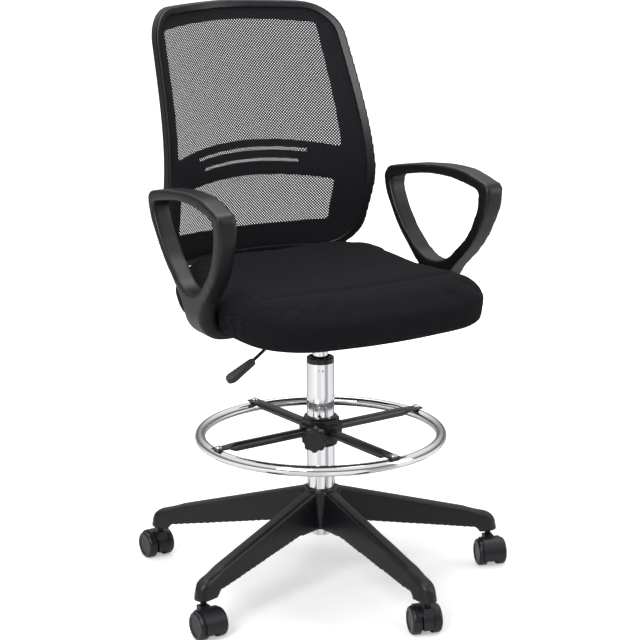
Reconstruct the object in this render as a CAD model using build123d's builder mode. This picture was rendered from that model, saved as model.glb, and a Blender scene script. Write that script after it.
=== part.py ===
"""Drafting chair: a mesh-back seat on a gas lift, with a foot ring and a five-leg base.

Millimetres, +Z up. The origin is on the floor, on the axis of the gas column.
The sitter faces -Y, so the sitter's right hand is on the -X side.
Directions are angles turned from straight forward towards the sitter's left.
"""

from build123d import *
import math
import os

os.makedirs("parts", exist_ok=True)

# ----------------------------------------------------------------------------
# Driving dimensions
# ----------------------------------------------------------------------------

# Clearances, each side
face_gap = 0.3
turning_gap = 0.3
pin_gap = 0.08
press_gap = 0.03
soft_gap = 0.3

# Five-leg base
leg_count = 5
first_leg_angle = 1.5
caster_circle_radius = 324.0
hub_top_z = 179.0
hub_bottom_z = 107.0
hub_radius = 33.0
hub_foot_radius = 36.0
hub_draft = 2.5
leg_root_top_z = 174.5
leg_tip_top_z = 93.0
leg_root_bottom_z = 108.0
leg_tip_bottom_z = 73.0
leg_root_half_width = 25.0
leg_tip_half_width = 16.5
leg_draft = 6.0
leg_nose_radius = 30.0
leg_wall = 4.0
leg_rib_thickness = 3.0
leg_rib_count = 4
rib_start = 95.0
rib_pitch = 52.0
ridge_half_width = 9.0
ridge_height = 2.0
ridge_end_radius = 290.0
stem_boss_radius = 9.5
stem_boss_bottom_z = 61.0

# Casters
wheel_diameter = 50.0
wheel_width = 16.5
wheel_spacing = 20.0
wheel_edge_radius = 5.0
wheel_dish = 1.6
wheel_wall = 4.0
hood_radius = 27.8
hood_wall = 2.6
hood_width = 36.0
hood_web = 18.0
hood_lip_z = 13.0
hood_open_angle = 30.0
caster_trail = 17.0
axle_diameter = 8.0
axle_reach = 11.0
stem_diameter = 11.0
stem_in_leg = 24.0
stem_in_hood = 15.0
grip_ring_width = 4.0
grip_ring_depth = 0.8
stem_shoulder_radius = 8.0
# Where each caster stands, as the direction from its stem to its axle
caster_headings = [163.0, -20.0, 60.0, 183.0, 1.0]

# Gas column
column_diameter = 50.0
column_wall = 1.8
column_neck_diameter = 46.6
column_end_diameter = 38.0
column_bottom_z = 90.0
column_top_z = 413.0
column_taper_z = 208.0
column_end_height = 12.0
crimp_radius = 2.4
crimp_depth = 1.0
crimp_drop = 12.0
guide_flange_height = 9.5
guide_flange_diameter = 49.4
guide_length = 110.0
cylinder_diameter = 28.0
cylinder_bore = 22.0
cylinder_floor_z = 122.0
cylinder_tip_diameter = 26.0
cylinder_gland = 12.0
rod_diameter = 10.0
piston_height = 12.0
piston_on_rod = 236.0
valve_button_diameter = 8.0
valve_button_stand = 6.5
valve_button_depth = 14.0
valve_travel = 3.0
clip_thickness = 1.6
thrust_bearing_height = 6.0

# Foot ring
ring_radius = 217.0
ring_tube_diameter = 19.0
ring_tube_wall = 1.5
ring_z = 278.0
spoke_count = 4
first_spoke_angle = 3.0
spoke_width = 19.0
spoke_height = 15.5
spoke_wall = 1.5
spoke_z = 287.0
spoke_pinch = 3.4
spoke_pinch_length = 30.0
clamp_radius = 32.0
clamp_height = 48.0
clamp_lug = 5.0
sleeve_wall = 2.5
sleeve_slit = 4.0
sleeve_flange = 2.0
ring_screw_diameter = 6.0
ring_screw_head = 13.0
ring_screw_head_height = 3.6
knob_angle = -41.0
knob_diameter = 45.0
knob_face_diameter = 38.0
knob_length = 20.0
knob_lobe_count = 8
knob_lobe_radius = 6.0
knob_stand_off = 58.0
clamp_boss_radius = 11.0
clamp_boss_reach = 50.0
knob_stud_diameter = 8.0

# Seat
seat_front_width = 482.0
seat_rear_width = 424.0
seat_front_y = -246.0
seat_rear_y = 206.0
seat_front_bow = 24.0
seat_corner_radius = 104.0
seat_bottom_z = 500.0
seat_thickness = 72.0
seat_top_radius = 26.0
seat_bottom_radius = 36.0
cover_thickness = 1.5
board_inset = 38.0
board_thickness = 12.0

# Seat plate and lift lever
plate_width = 150.0
plate_depth = 200.0
plate_thickness = 3.0
plate_flange = 18.0
plate_corner = 10.0
socket_length = 30.0
socket_bottom_z = 446.0
socket_wall = 4.0
plate_bolt_x = 60.0
plate_bolt_y = 82.0
bolt_diameter = 8.0
bolt_head_diameter = 14.0
bolt_head_height = 5.0
nut_flange_diameter = 19.0
nut_flange_height = 1.5
lever_diameter = 6.0
lever_clear_of_button = 0.6
lever_inner_reach = 6.0
lever_pivot_x = -34.0
lever_knee = (-100.0, 461.0)
lever_end = (-147.0, 428.5)
pivot_pin_diameter = 3.0
pivot_ear_gap = 6.0
pivot_ear_thickness = 3.0
paddle_length = 62.0
paddle_root_width = 13.0
paddle_width = 24.0
paddle_thickness = 12.0
paddle_slope = 29.0
paddle_overlap = 12.0

# Armrests
arm_centre_x = 259.0
arm_splay = 4.3
arm_width = 36.0
arm_lean = 8.0
arm_stem_front_y = -46.0
arm_stem_rear_y = 15.0
arm_stem_end_x = 121.0
arm_flange_thickness = 8.0
arm_side_gap = 2.5
arm_bend_radius = 50.0
arm_top_z = 749.5
arm_bolt_x = [142.0, 174.0]

# Backrest
back_bend_radius = 310.0
back_foot = (276.0, 512.0)
back_knee = (262.0, 612.0)
back_curve = [(239.0, 742.0), (263.0, 870.0), (320.0, 1046.0)]
back_bottom_z = 561.0
back_top_z = 1034.0
back_top_half = 192.0
back_wide_half = 219.0
back_wide_z = 712.0
back_bottom_half = 206.0
back_top_corner = 66.0
back_bottom_corner = 72.0
back_top_crown = 8.0
rim_width = 13.0
rim_front = 4.0
rim_lip = 3.0
mesh_thickness = 1.0
frame_depth = 14.0
frame_wall = 8.0
panel_front = 6.0
panel_thickness = 5.0
window_top_half = 161.5
window_waist_half = 174.5
window_lower_half = 164.5
window_bottom_half = 161.0
window_top_z = 988.0
window_top_arch = 10.0
lumbar_top_z = 761.0
lumbar_top_arch = 20.0
lumbar_bottom_z = 699.0
lumbar_bottom_arch = 16.0
window_bottom_z = 621.0
window_bottom_sag = 5.0
window_corner = 6.0
slit_height = 6.5
slits = [(756.0, 113.0), (737.0, 98.0)]
tongue_half = 42.0
tongue_bottom_z = 530.0
tongue_front = 2.0

# Back bar
bar_width = 58.0
bar_thickness = 8.0
bar_bend_radius = 40.0
bar_front_y = 40.0
bar_top_drop = 2.0
bar_side_gap = 2.0
bar_bolt_y = [58.0, 84.0]
bar_screw_reach = [34.0, 80.0]
bar_screw_x = 18.0
screw_diameter = 6.0
screw_in_frame = 6.5

# ----------------------------------------------------------------------------
# Worked-out values
# ----------------------------------------------------------------------------

leg_angles = [first_leg_angle + n * 360.0 / leg_count for n in range(leg_count)]
spoke_angles = [first_spoke_angle + n * 360.0 / spoke_count for n in range(spoke_count)]
wheel_radius = wheel_diameter / 2
wheel_inner = wheel_spacing / 2
wheel_outer = wheel_inner + wheel_width
hood_top_z = wheel_radius + hood_radius
stem_bottom_z = hood_top_z - stem_in_hood
stem_top_z = stem_boss_bottom_z + stem_in_leg
grip_ring_z = stem_top_z - 10
column_bore = column_diameter - 2 * column_wall
socket_top_z = socket_bottom_z + socket_length
cylinder_top_z = socket_top_z + 1
lever_z = cylinder_top_z + valve_button_stand + lever_clear_of_button + lever_diameter / 2
rod_bottom_z = column_bottom_z + face_gap
bearing_z = column_bottom_z + column_wall + face_gap
tab_z = ring_z + ring_tube_diameter / 2 + spoke_pinch / 2 + face_gap / 10
hub_bore_radius = column_diameter / 2 + 2 * turning_gap + sleeve_wall
sleeve_radius = column_diameter / 2 + turning_gap + sleeve_wall
plate_top_z = seat_bottom_z
board_top_z = seat_bottom_z + board_thickness
bar_z = seat_bottom_z - plate_thickness - bar_thickness / 2 - face_gap / 10
screw_hole = screw_diameter / 2 + pin_gap
panel_rear = panel_front + panel_thickness


def heading(angle):
    """Unit vector along the floor in a given direction."""
    turn = math.radians(angle)
    return Vector(math.sin(turn), -math.cos(turn), 0)


def facing(angle, reach, height):
    """Upright plane at a distance from the axis, whose normal points outwards."""
    outward = heading(angle)
    return Plane(outward * reach + Vector(0, 0, height), x_dir=Vector(0, 0, 1), z_dir=outward)


def side_view(angle):
    """Upright plane through the axis: x points outwards and y points up."""
    outward = heading(angle)
    return Plane((0, 0, 0), x_dir=outward, z_dir=outward.cross(Vector(0, 0, 1)))


def column_radius_at(z):
    """Outside radius of the column, which narrows into the hub."""
    share = min(1.0, (z - hub_bottom_z) / (column_taper_z - hub_bottom_z))
    return (column_neck_diameter + share * (column_diameter - column_neck_diameter)) / 2


def seat_half_width(y):
    """Half the seat's width at a place between its rear and its front."""
    share = (y - seat_rear_y) / (seat_front_y - seat_rear_y)
    return (seat_rear_width + share * (seat_front_width - seat_rear_width)) / 2


def save(piece, name):
    """Label a finished piece and write it to its own file."""
    piece.label = name
    export_step(piece, "parts/" + name + ".step")


# ----------------------------------------------------------------------------
# Five-leg base
# ----------------------------------------------------------------------------

leg_tip_x = caster_circle_radius + leg_tip_half_width
leg_heel_x = caster_circle_radius - leg_tip_half_width - 4


def leg_side(drop, inset):
    """Side view of one leg; drop lowers its top and inset pulls in its nose."""
    with BuildSketch(side_view(0)) as view:
        with BuildLine():
            FilletPolyline(
                (0, hub_bottom_z),
                (0, leg_root_top_z - drop),
                (hub_radius, leg_root_top_z - drop),
                (leg_tip_x - inset, leg_tip_top_z - drop),
                (leg_tip_x - inset, stem_boss_bottom_z + 2),
                (leg_heel_x, stem_boss_bottom_z + 2),
                (leg_heel_x - 10, leg_tip_bottom_z),
                (85, leg_root_bottom_z),
                (hub_radius, hub_bottom_z),
                radius=[0, 0, 20, leg_nose_radius - drop, 1.5, 1.5, 6, 30, 0],
                close=True,
            )
        make_face()
    return view.sketch


def leg_plan(inset):
    """Plan of one leg at floor level, with a round nose."""
    tip = leg_tip_half_width - inset
    root = leg_root_half_width - inset
    with BuildSketch(Plane.XY.offset(stem_boss_bottom_z)) as plan:
        with BuildLine():
            Line((tip, -caster_circle_radius), (root, 0))
            Line((root, 0), (-root, 0))
            Line((-root, 0), (-tip, -caster_circle_radius))
            ThreePointArc(
                (-tip, -caster_circle_radius),
                (0, -caster_circle_radius - tip),
                (tip, -caster_circle_radius),
            )
        make_face()
    return plan.sketch


leg_rise = hub_top_z + 20 - stem_boss_bottom_z

leg_outer_plan = leg_plan(0)
leg_outer_side = leg_side(0, 0)
leg_inner_plan = leg_plan(leg_wall)
leg_inner_side = leg_side(leg_wall, leg_wall)

with BuildPart() as leg_shape:
    extrude(leg_outer_plan, amount=leg_rise, taper=leg_draft)
    extrude(leg_outer_side, amount=2 * leg_root_half_width, both=True, mode=Mode.INTERSECT)

with BuildPart() as leg_hollow:
    extrude(leg_inner_plan, amount=leg_rise, taper=leg_draft)
    extrude(leg_inner_side, amount=2 * leg_root_half_width, both=True, mode=Mode.INTERSECT)

ridge_slope = (leg_root_top_z - leg_tip_top_z) / (leg_tip_x - hub_radius)
ridge_end_z = leg_root_top_z - (ridge_end_radius - hub_radius) * ridge_slope

with BuildPart() as ridge:
    with BuildSketch(side_view(0)):
        Polygon(
            (hub_radius - 4, leg_root_top_z - 8),
            (hub_radius - 4, leg_root_top_z + ridge_height + 4 * ridge_slope),
            (ridge_end_radius - 14, ridge_end_z + ridge_height + 14 * ridge_slope),
            (ridge_end_radius, ridge_end_z),
            (ridge_end_radius, ridge_end_z - 6),
            align=None,
        )
    extrude(amount=ridge_half_width, both=True)

floor_of_cut_z = stem_boss_bottom_z - 5
first_leg_turn = first_leg_angle - 90

# The legs are hollow from below, between the hub, the cross ribs and the stem bosses
with BuildPart() as hollow:
    for angle in leg_angles:
        add(leg_hollow.part, rotation=(0, 0, angle))
    with BuildSketch(Plane.XY.offset(floor_of_cut_z)):
        Circle(hub_foot_radius + leg_rib_thickness)
        with PolarLocations(caster_circle_radius, leg_count, start_angle=first_leg_turn):
            Circle(stem_boss_radius)
        for rib in range(leg_rib_count):
            with PolarLocations(rib_start + rib * rib_pitch, leg_count, start_angle=first_leg_turn):
                Rectangle(leg_rib_thickness, 2.4 * leg_root_half_width)
    extrude(amount=leg_rise, mode=Mode.SUBTRACT)

with BuildPart() as base_star:
    with BuildSketch(Plane.XY.offset(hub_bottom_z)):
        Circle(hub_foot_radius)
    extrude(amount=hub_top_z - hub_bottom_z, taper=hub_draft)
    for angle in leg_angles:
        add(leg_shape.part, rotation=(0, 0, angle))
        add(ridge.part, rotation=(0, 0, angle))
    add(hollow.part, mode=Mode.SUBTRACT)
    # the stem bosses stand a little below the leg ends
    with BuildSketch(Plane.XY.offset(stem_boss_bottom_z)):
        with PolarLocations(caster_circle_radius, leg_count, start_angle=first_leg_turn):
            Circle(stem_boss_radius)
    extrude(amount=6)
    with BuildSketch(Plane.XY.offset(stem_boss_bottom_z)):
        with PolarLocations(caster_circle_radius, leg_count, start_angle=first_leg_turn):
            Circle(stem_diameter / 2 + press_gap)
    extrude(amount=stem_in_leg + 1, mode=Mode.SUBTRACT)
    # tapered bore for the column
    with BuildSketch(Plane.XZ):
        Polygon(
            (0, hub_bottom_z - 1),
            (column_neck_diameter / 2 + press_gap, hub_bottom_z - 1),
            (column_radius_at(hub_top_z + 6) + press_gap, hub_top_z + 6),
            (0, hub_top_z + 6),
            align=None,
        )
    revolve(axis=Axis.Z, mode=Mode.SUBTRACT)
save(base_star.part, "base_star")

# ----------------------------------------------------------------------------
# Casters: built once about the stem at the origin, then set at the five legs
# ----------------------------------------------------------------------------

axle_line = Plane.YZ
wheel_centre = (-caster_trail, wheel_radius)
lip_drop = wheel_radius - hood_lip_z


with BuildPart() as caster_hood:
    # central web, cut off above the floor, with the socket for the stem
    with BuildSketch(axle_line):
        with Locations(wheel_centre):
            Circle(hood_radius)
        with Locations((0, (hood_top_z + hood_lip_z) / 2)):
            Rectangle(2 * stem_shoulder_radius, hood_top_z - hood_lip_z)
        with Locations((-caster_trail, hood_lip_z - hood_radius)):
            Rectangle(4 * hood_radius, 2 * hood_radius, mode=Mode.SUBTRACT)
    extrude(amount=hood_web / 2, both=True)
    # cover over the treads: from the lip at the back over the top to the stem
    with BuildSketch(axle_line):
        with Locations(wheel_centre):
            Circle(hood_radius)
            Circle(hood_radius - hood_wall, mode=Mode.SUBTRACT)
            Polygon(
                (0, 0),
                (2 * hood_radius, 2 * hood_radius * math.tan(math.radians(hood_open_angle))),
                (2 * hood_radius, -2 * hood_radius),
                (-2 * hood_radius, -2 * hood_radius),
                (-2 * hood_radius, -lip_drop),
                (0, -lip_drop),
                align=None,
                mode=Mode.SUBTRACT,
            )
    extrude(amount=hood_width / 2, both=True)
    with BuildSketch(axle_line):
        with Locations(wheel_centre):
            Circle(axle_diameter / 2 + press_gap)
    extrude(amount=hood_width, both=True, mode=Mode.SUBTRACT)
    with BuildSketch(Plane.XY.offset(hood_top_z)):
        Circle(stem_diameter / 2 + pin_gap)
    extrude(amount=-stem_in_hood - 0.5, mode=Mode.SUBTRACT)

with BuildPart() as caster_axle:
    with BuildSketch(axle_line):
        with Locations(wheel_centre):
            Circle(axle_diameter / 2)
    extrude(amount=hood_web / 2 + axle_reach, both=True)
    chamfer(caster_axle.edges().filter_by(GeomType.CIRCLE), length=0.6)


def caster_wheel(side):
    """One wheel of the pair: a dished face outside, a hollow inside, a blind bore."""
    with BuildPart() as wheel:
        with BuildSketch(Plane.XY):
            with BuildLine():
                FilletPolyline(
                    (0, wheel_outer - wheel_dish),
                    (wheel_radius * 0.62, wheel_outer - wheel_dish),
                    (wheel_radius * 0.7, wheel_outer),
                    (wheel_radius, wheel_outer),
                    (wheel_radius, wheel_inner),
                    (wheel_radius - wheel_wall, wheel_inner),
                    radius=[3, 3, wheel_edge_radius, 2],
                )
                Polyline(
                    (wheel_radius - wheel_wall, wheel_inner),
                    (wheel_radius - wheel_wall, wheel_inner + 7),
                    (axle_diameter / 2 + 4, wheel_inner + 7),
                    (axle_diameter / 2 + 4, wheel_inner),
                    (axle_diameter / 2 + pin_gap, wheel_inner),
                    (axle_diameter / 2 + pin_gap, hood_web / 2 + axle_reach + face_gap),
                    (0, hood_web / 2 + axle_reach + face_gap),
                    (0, wheel_outer - wheel_dish),
                )
            make_face()
        revolve(axis=Axis.Y)
    turned = wheel.part.rotate(Axis.Z, -90 * side)
    return turned.moved(Location((0, -caster_trail, wheel_radius)))


caster_wheel_right = caster_wheel(-1)
caster_wheel_left = caster_wheel(1)

for number, angle in enumerate(leg_angles, start=1):
    foot = heading(angle) * caster_circle_radius
    stand = Location(foot, (0, 0, caster_headings[number - 1]))
    with BuildPart() as placed_hood:
        with Locations(stand):
            add(caster_hood.part)
    save(placed_hood.part, "caster_hood_" + str(number))
    with BuildPart() as placed_axle:
        with Locations(stand):
            add(caster_axle.part)
    save(placed_axle.part, "caster_axle_" + str(number))
    with BuildPart() as placed_right:
        with Locations(stand):
            add(caster_wheel_right)
    save(placed_right.part, "caster_wheel_" + str(number) + "_right")
    with BuildPart() as placed_left:
        with Locations(stand):
            add(caster_wheel_left)
    save(placed_left.part, "caster_wheel_" + str(number) + "_left")

with BuildPart() as caster_stems:
    with PolarLocations(caster_circle_radius, leg_count, start_angle=first_leg_turn):
        with Locations((0, 0, stem_bottom_z)):
            Cylinder(
                stem_diameter / 2,
                stem_top_z - stem_bottom_z,
                align=(Align.CENTER, Align.CENTER, Align.MIN),
            )
        with Locations((0, 0, grip_ring_z)):
            Cylinder(
                stem_diameter / 2 + 1,
                grip_ring_width + 2 * face_gap,
                align=(Align.CENTER, Align.CENTER, Align.MIN),
                mode=Mode.SUBTRACT,
            )
            Cylinder(
                stem_diameter / 2 - grip_ring_depth,
                grip_ring_width + 2 * face_gap,
                align=(Align.CENTER, Align.CENTER, Align.MIN),
            )
save(caster_stems.part, "caster_stems")

with BuildPart() as caster_grip_rings:
    with BuildSketch(Plane.XY.offset(grip_ring_z + face_gap)):
        with PolarLocations(caster_circle_radius, leg_count, start_angle=first_leg_turn):
            Circle(stem_diameter / 2)
            Circle(stem_diameter / 2 - grip_ring_depth + press_gap, mode=Mode.SUBTRACT)
            with Locations((stem_diameter / 2, 0)):
                Rectangle(stem_diameter, 1.2, mode=Mode.SUBTRACT)
    extrude(amount=grip_ring_width)
save(caster_grip_rings.part, "caster_grip_rings")

# ----------------------------------------------------------------------------
# Gas column
# ----------------------------------------------------------------------------

bore_radius = column_bore / 2
guide_bottom_z = column_top_z - guide_length

with BuildPart() as column_tube:
    with BuildSketch(Plane.XZ):
        Polygon(
            (rod_diameter / 2 + pin_gap, column_bottom_z),
            (column_end_diameter / 2 - 2, column_bottom_z),
            (column_end_diameter / 2, column_bottom_z + 2),
            (column_end_diameter / 2, column_bottom_z + column_end_height),
            (column_radius_at(hub_bottom_z), hub_bottom_z),
            (column_radius_at(column_taper_z), column_taper_z),
            (column_diameter / 2, column_top_z - 1),
            (column_diameter / 2 - 1, column_top_z),
            (bore_radius, column_top_z),
            (bore_radius, column_taper_z),
            (column_radius_at(hub_bottom_z) - column_wall, hub_bottom_z),
            (column_end_diameter / 2 - column_wall, column_bottom_z + column_end_height),
            (column_end_diameter / 2 - column_wall, column_bottom_z + column_wall),
            (rod_diameter / 2 + pin_gap, column_bottom_z + column_wall),
            align=None,
        )
    revolve(axis=Axis.Z)
    # two small crimps near the top hold the guide bush
    for turn in (-38, -22):
        with Locations(heading(turn) * (column_diameter / 2 + crimp_radius - crimp_depth)):
            with Locations((0, 0, column_top_z - crimp_drop)):
                Sphere(crimp_radius, mode=Mode.SUBTRACT)
save(column_tube.part, "column_tube")

with BuildPart() as column_guide_bush:
    with BuildSketch(Plane.XZ):
        Polygon(
            (cylinder_diameter / 2 + pin_gap, guide_bottom_z),
            (bore_radius - press_gap, guide_bottom_z),
            (bore_radius - press_gap, column_top_z + face_gap / 10),
            (guide_flange_diameter / 2, column_top_z + face_gap / 10),
            (guide_flange_diameter / 2, column_top_z + guide_flange_height - 1.5),
            (guide_flange_diameter / 2 - 1.5, column_top_z + guide_flange_height),
            (guide_flange_diameter / 2 - 4, column_top_z + guide_flange_height),
            (cylinder_diameter / 2 + 2, column_top_z + guide_flange_height - 3),
            (cylinder_diameter / 2 + pin_gap, column_top_z + guide_flange_height - 3),
            align=None,
        )
    revolve(axis=Axis.Z)
save(column_guide_bush.part, "column_guide_bush")

with BuildPart() as thrust_bearing:
    with BuildSketch(Plane.XY.offset(bearing_z)):
        Circle(column_end_diameter / 2 - column_wall - 1)
        Circle(rod_diameter / 2 + turning_gap, mode=Mode.SUBTRACT)
    extrude(amount=thrust_bearing_height)
save(thrust_bearing.part, "thrust_bearing")

with BuildPart() as column_retaining_clip:
    with BuildSketch(Plane.XY.offset(column_bottom_z - clip_thickness - face_gap / 10)):
        Circle(rod_diameter / 2 + 4)
        Circle(rod_diameter / 2 - 1 + turning_gap, mode=Mode.SUBTRACT)
        with Locations((rod_diameter, 0)):
            Rectangle(2 * rod_diameter, rod_diameter - 3, mode=Mode.SUBTRACT)
    extrude(amount=clip_thickness)
save(column_retaining_clip.part, "column_retaining_clip")

# ----------------------------------------------------------------------------
# Gas lift: piston rod, cylinder and valve button
# ----------------------------------------------------------------------------

piston_z = rod_bottom_z + piston_on_rod

with BuildPart() as piston_rod:
    with BuildSketch(Plane.XZ):
        Polygon(
            (0, column_bottom_z - clip_thickness - 3),
            (rod_diameter / 2 - 1, column_bottom_z - clip_thickness - 3),
            (rod_diameter / 2 - 1, column_bottom_z - clip_thickness - 1),
            (rod_diameter / 2 - 1, column_bottom_z),
            (rod_diameter / 2, column_bottom_z),
            (rod_diameter / 2, bearing_z + thrust_bearing_height + face_gap),
            (rod_diameter / 2 + 4, bearing_z + thrust_bearing_height + face_gap),
            (rod_diameter / 2 + 4, bearing_z + thrust_bearing_height + face_gap + 3),
            (rod_diameter / 2, bearing_z + thrust_bearing_height + face_gap + 3),
            (rod_diameter / 2, piston_z),
            (cylinder_bore / 2 - pin_gap, piston_z),
            (cylinder_bore / 2 - pin_gap, piston_z + piston_height),
            (0, piston_z + piston_height),
            align=None,
        )
    revolve(axis=Axis.Z)
save(piston_rod.part, "piston_rod")

with BuildPart() as lift_cylinder:
    with BuildSketch(Plane.XZ):
        Polygon(
            (rod_diameter / 2 + pin_gap, cylinder_floor_z),
            (cylinder_diameter / 2 - 1, cylinder_floor_z),
            (cylinder_diameter / 2, cylinder_floor_z + 1),
            (cylinder_diameter / 2, socket_bottom_z),
            (cylinder_tip_diameter / 2, cylinder_top_z - 1),
            (cylinder_tip_diameter / 2 - 1, cylinder_top_z),
            (valve_button_diameter / 2 + pin_gap, cylinder_top_z),
            (valve_button_diameter / 2 + pin_gap, cylinder_top_z - valve_button_depth),
            (cylinder_bore / 2, cylinder_top_z - valve_button_depth - valve_travel),
            (cylinder_bore / 2, cylinder_floor_z + cylinder_gland),
            (rod_diameter / 2 + pin_gap, cylinder_floor_z + cylinder_gland),
            align=None,
        )
    revolve(axis=Axis.Z)
save(lift_cylinder.part, "lift_cylinder")

with BuildPart() as valve_button:
    with BuildSketch(Plane.XY.offset(cylinder_top_z - valve_button_depth + 1)):
        Circle(valve_button_diameter / 2)
    extrude(amount=valve_button_stand + valve_button_depth - 1)
    fillet(valve_button.edges().sort_by(Axis.Z)[-1], radius=2)
save(valve_button.part, "valve_button")

# ----------------------------------------------------------------------------
# Foot ring
# ----------------------------------------------------------------------------

clamp_z = spoke_z
sleeve_bottom_z = clamp_z - clamp_height / 2 - sleeve_flange - face_gap
sleeve_top_z = clamp_z + clamp_height / 2 + sleeve_flange + face_gap

with BuildPart() as footring_sleeve:
    with BuildSketch(Plane.XZ):
        with BuildLine():
            Polyline(
                (column_diameter / 2 + turning_gap, sleeve_bottom_z),
                (sleeve_radius + sleeve_flange, sleeve_bottom_z),
                (sleeve_radius + sleeve_flange, sleeve_bottom_z + sleeve_flange),
                (sleeve_radius, sleeve_bottom_z + sleeve_flange),
                (sleeve_radius, sleeve_top_z - sleeve_flange),
                (sleeve_radius + sleeve_flange, sleeve_top_z - sleeve_flange),
                (sleeve_radius + sleeve_flange, sleeve_top_z),
                (column_diameter / 2 + turning_gap, sleeve_top_z),
                close=True,
            )
        make_face()
    revolve(axis=Axis.Z)
    # a slit lets it close on the column when the knob is tightened
    with BuildSketch(Plane.XY.offset(sleeve_bottom_z - 1)):
        with Locations(heading(knob_angle + 180) * sleeve_radius):
            Rectangle(4 * sleeve_wall, sleeve_slit, rotation=knob_angle + 90)
    extrude(amount=sleeve_top_z - sleeve_bottom_z + 2, mode=Mode.SUBTRACT)
save(footring_sleeve.part, "footring_sleeve")

spoke_root = hub_bore_radius + 1

with BuildPart() as footring_hub:
    with BuildSketch(Plane.XY.offset(clamp_z - clamp_height / 2)):
        RegularPolygon(clamp_radius, 8, major_radius=False, rotation=first_spoke_angle + 22.5)
    extrude(amount=clamp_height)
    chamfer(footring_hub.edges().group_by(Axis.Z)[0] + footring_hub.edges().group_by(Axis.Z)[-1], length=3)
    for angle in spoke_angles:
        with BuildSketch(facing(angle, clamp_radius - 4, clamp_z)):
            Rectangle(spoke_height + 2 * clamp_lug, spoke_width + 2 * clamp_lug)
        extrude(amount=4 + clamp_lug)
    with BuildSketch(facing(knob_angle, clamp_radius - 8, clamp_z)):
        Circle(clamp_boss_radius)
    extrude(amount=clamp_boss_reach - clamp_radius + 8)
    with BuildSketch(Plane.XY.offset(clamp_z - clamp_height)):
        Circle(hub_bore_radius)
    extrude(amount=2 * clamp_height, mode=Mode.SUBTRACT)
    for angle in spoke_angles:
        with BuildSketch(facing(angle, spoke_root, clamp_z)):
            SlotOverall(spoke_width + 2 * press_gap, spoke_height + 2 * press_gap, rotation=90)
        extrude(amount=clamp_radius, mode=Mode.SUBTRACT)
    with BuildSketch(facing(knob_angle, 0, clamp_z)):
        Circle(knob_stud_diameter / 2 + pin_gap)
    extrude(amount=2 * clamp_radius, mode=Mode.SUBTRACT)
save(footring_hub.part, "footring_hub")

spoke_end = ring_radius + ring_tube_diameter / 2 - 1
pinch_start = spoke_end - spoke_pinch_length

for number, angle in enumerate(spoke_angles, start=1):
    with BuildPart() as spoke:
        with BuildSketch(facing(angle, spoke_root + face_gap, clamp_z)):
            SlotOverall(spoke_width, spoke_height, rotation=90)
        extrude(amount=pinch_start - spoke_root - 12)
        with BuildSketch(facing(angle, pinch_start - 12 + face_gap, clamp_z)):
            SlotOverall(spoke_width, spoke_height, rotation=90)
        with BuildSketch(facing(angle, pinch_start + 6, tab_z)):
            SlotOverall(spoke_width + 3, spoke_pinch, rotation=90)
        loft()
        with BuildSketch(facing(angle, pinch_start + 6, tab_z)):
            SlotOverall(spoke_width + 3, spoke_pinch, rotation=90)
        extrude(amount=spoke_end - pinch_start - 6)
        with BuildSketch(facing(angle, spoke_root, clamp_z)):
            SlotOverall(spoke_width - 2 * spoke_wall, spoke_height - 2 * spoke_wall, rotation=90)
        extrude(amount=pinch_start - spoke_root - 12, mode=Mode.SUBTRACT)
        with BuildSketch(Plane.XY.offset(tab_z - spoke_pinch)):
            with Locations(heading(angle) * ring_radius):
                Circle(ring_screw_diameter / 2 + pin_gap)
        extrude(amount=2 * spoke_pinch, mode=Mode.SUBTRACT)
    save(spoke.part, "footring_spoke_" + str(number))

ring_screw_length = ring_tube_diameter * 0.75

with BuildPart() as footring_ring:
    with BuildSketch(Plane.XZ):
        with Locations((ring_radius, ring_z)):
            Circle(ring_tube_diameter / 2)
            Circle(ring_tube_diameter / 2 - ring_tube_wall, mode=Mode.SUBTRACT)
    revolve(axis=Axis.Z)
    with BuildSketch(Plane.XY.offset(ring_z)):
        with PolarLocations(ring_radius, spoke_count, start_angle=first_spoke_angle - 90):
            Circle(ring_screw_diameter / 2 + pin_gap)
    extrude(amount=ring_tube_diameter, mode=Mode.SUBTRACT)
save(footring_ring.part, "footring_ring")

tab_top_z = tab_z + spoke_pinch / 2

with BuildPart() as footring_screws:
    with BuildSketch(Plane.XY.offset(tab_top_z + face_gap / 10)):
        with PolarLocations(ring_radius, spoke_count, start_angle=first_spoke_angle - 90):
            Circle(ring_screw_head / 2)
    extrude(amount=ring_screw_head_height)
    fillet(footring_screws.edges().group_by(Axis.Z)[-1], radius=ring_screw_head_height * 0.7)
    with BuildSketch(Plane.XY.offset(tab_top_z + 1)):
        with PolarLocations(ring_radius, spoke_count, start_angle=first_spoke_angle - 90):
            Circle(ring_screw_diameter / 2)
    extrude(amount=-ring_screw_length)
save(footring_screws.part, "footring_screws")

with BuildPart() as footring_knob:
    with BuildSketch(facing(knob_angle, knob_stand_off, clamp_z)):
        Circle(knob_diameter / 2 - 3)
        with PolarLocations(knob_diameter / 2 - knob_lobe_radius, knob_lobe_count):
            Circle(knob_lobe_radius)
    extrude(amount=knob_length - 4)
    with BuildSketch(facing(knob_angle, knob_stand_off + knob_length - 4, clamp_z)):
        Circle(knob_face_diameter / 2)
    extrude(amount=4)
    knob_axis = Axis(origin=(0, 0, clamp_z), direction=heading(knob_angle))
    fillet(footring_knob.edges().sort_by(knob_axis)[-1], radius=2)
    with BuildSketch(facing(knob_angle, knob_stand_off, clamp_z)):
        Circle(clamp_boss_radius)
    extrude(amount=-(knob_stand_off - clamp_boss_reach - 3))
    with BuildSketch(facing(knob_angle, clamp_boss_reach, clamp_z)):
        Circle(knob_stud_diameter / 2 + press_gap)
    extrude(amount=knob_stand_off - clamp_boss_reach + 10, mode=Mode.SUBTRACT)
save(footring_knob.part, "footring_knob")

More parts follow.
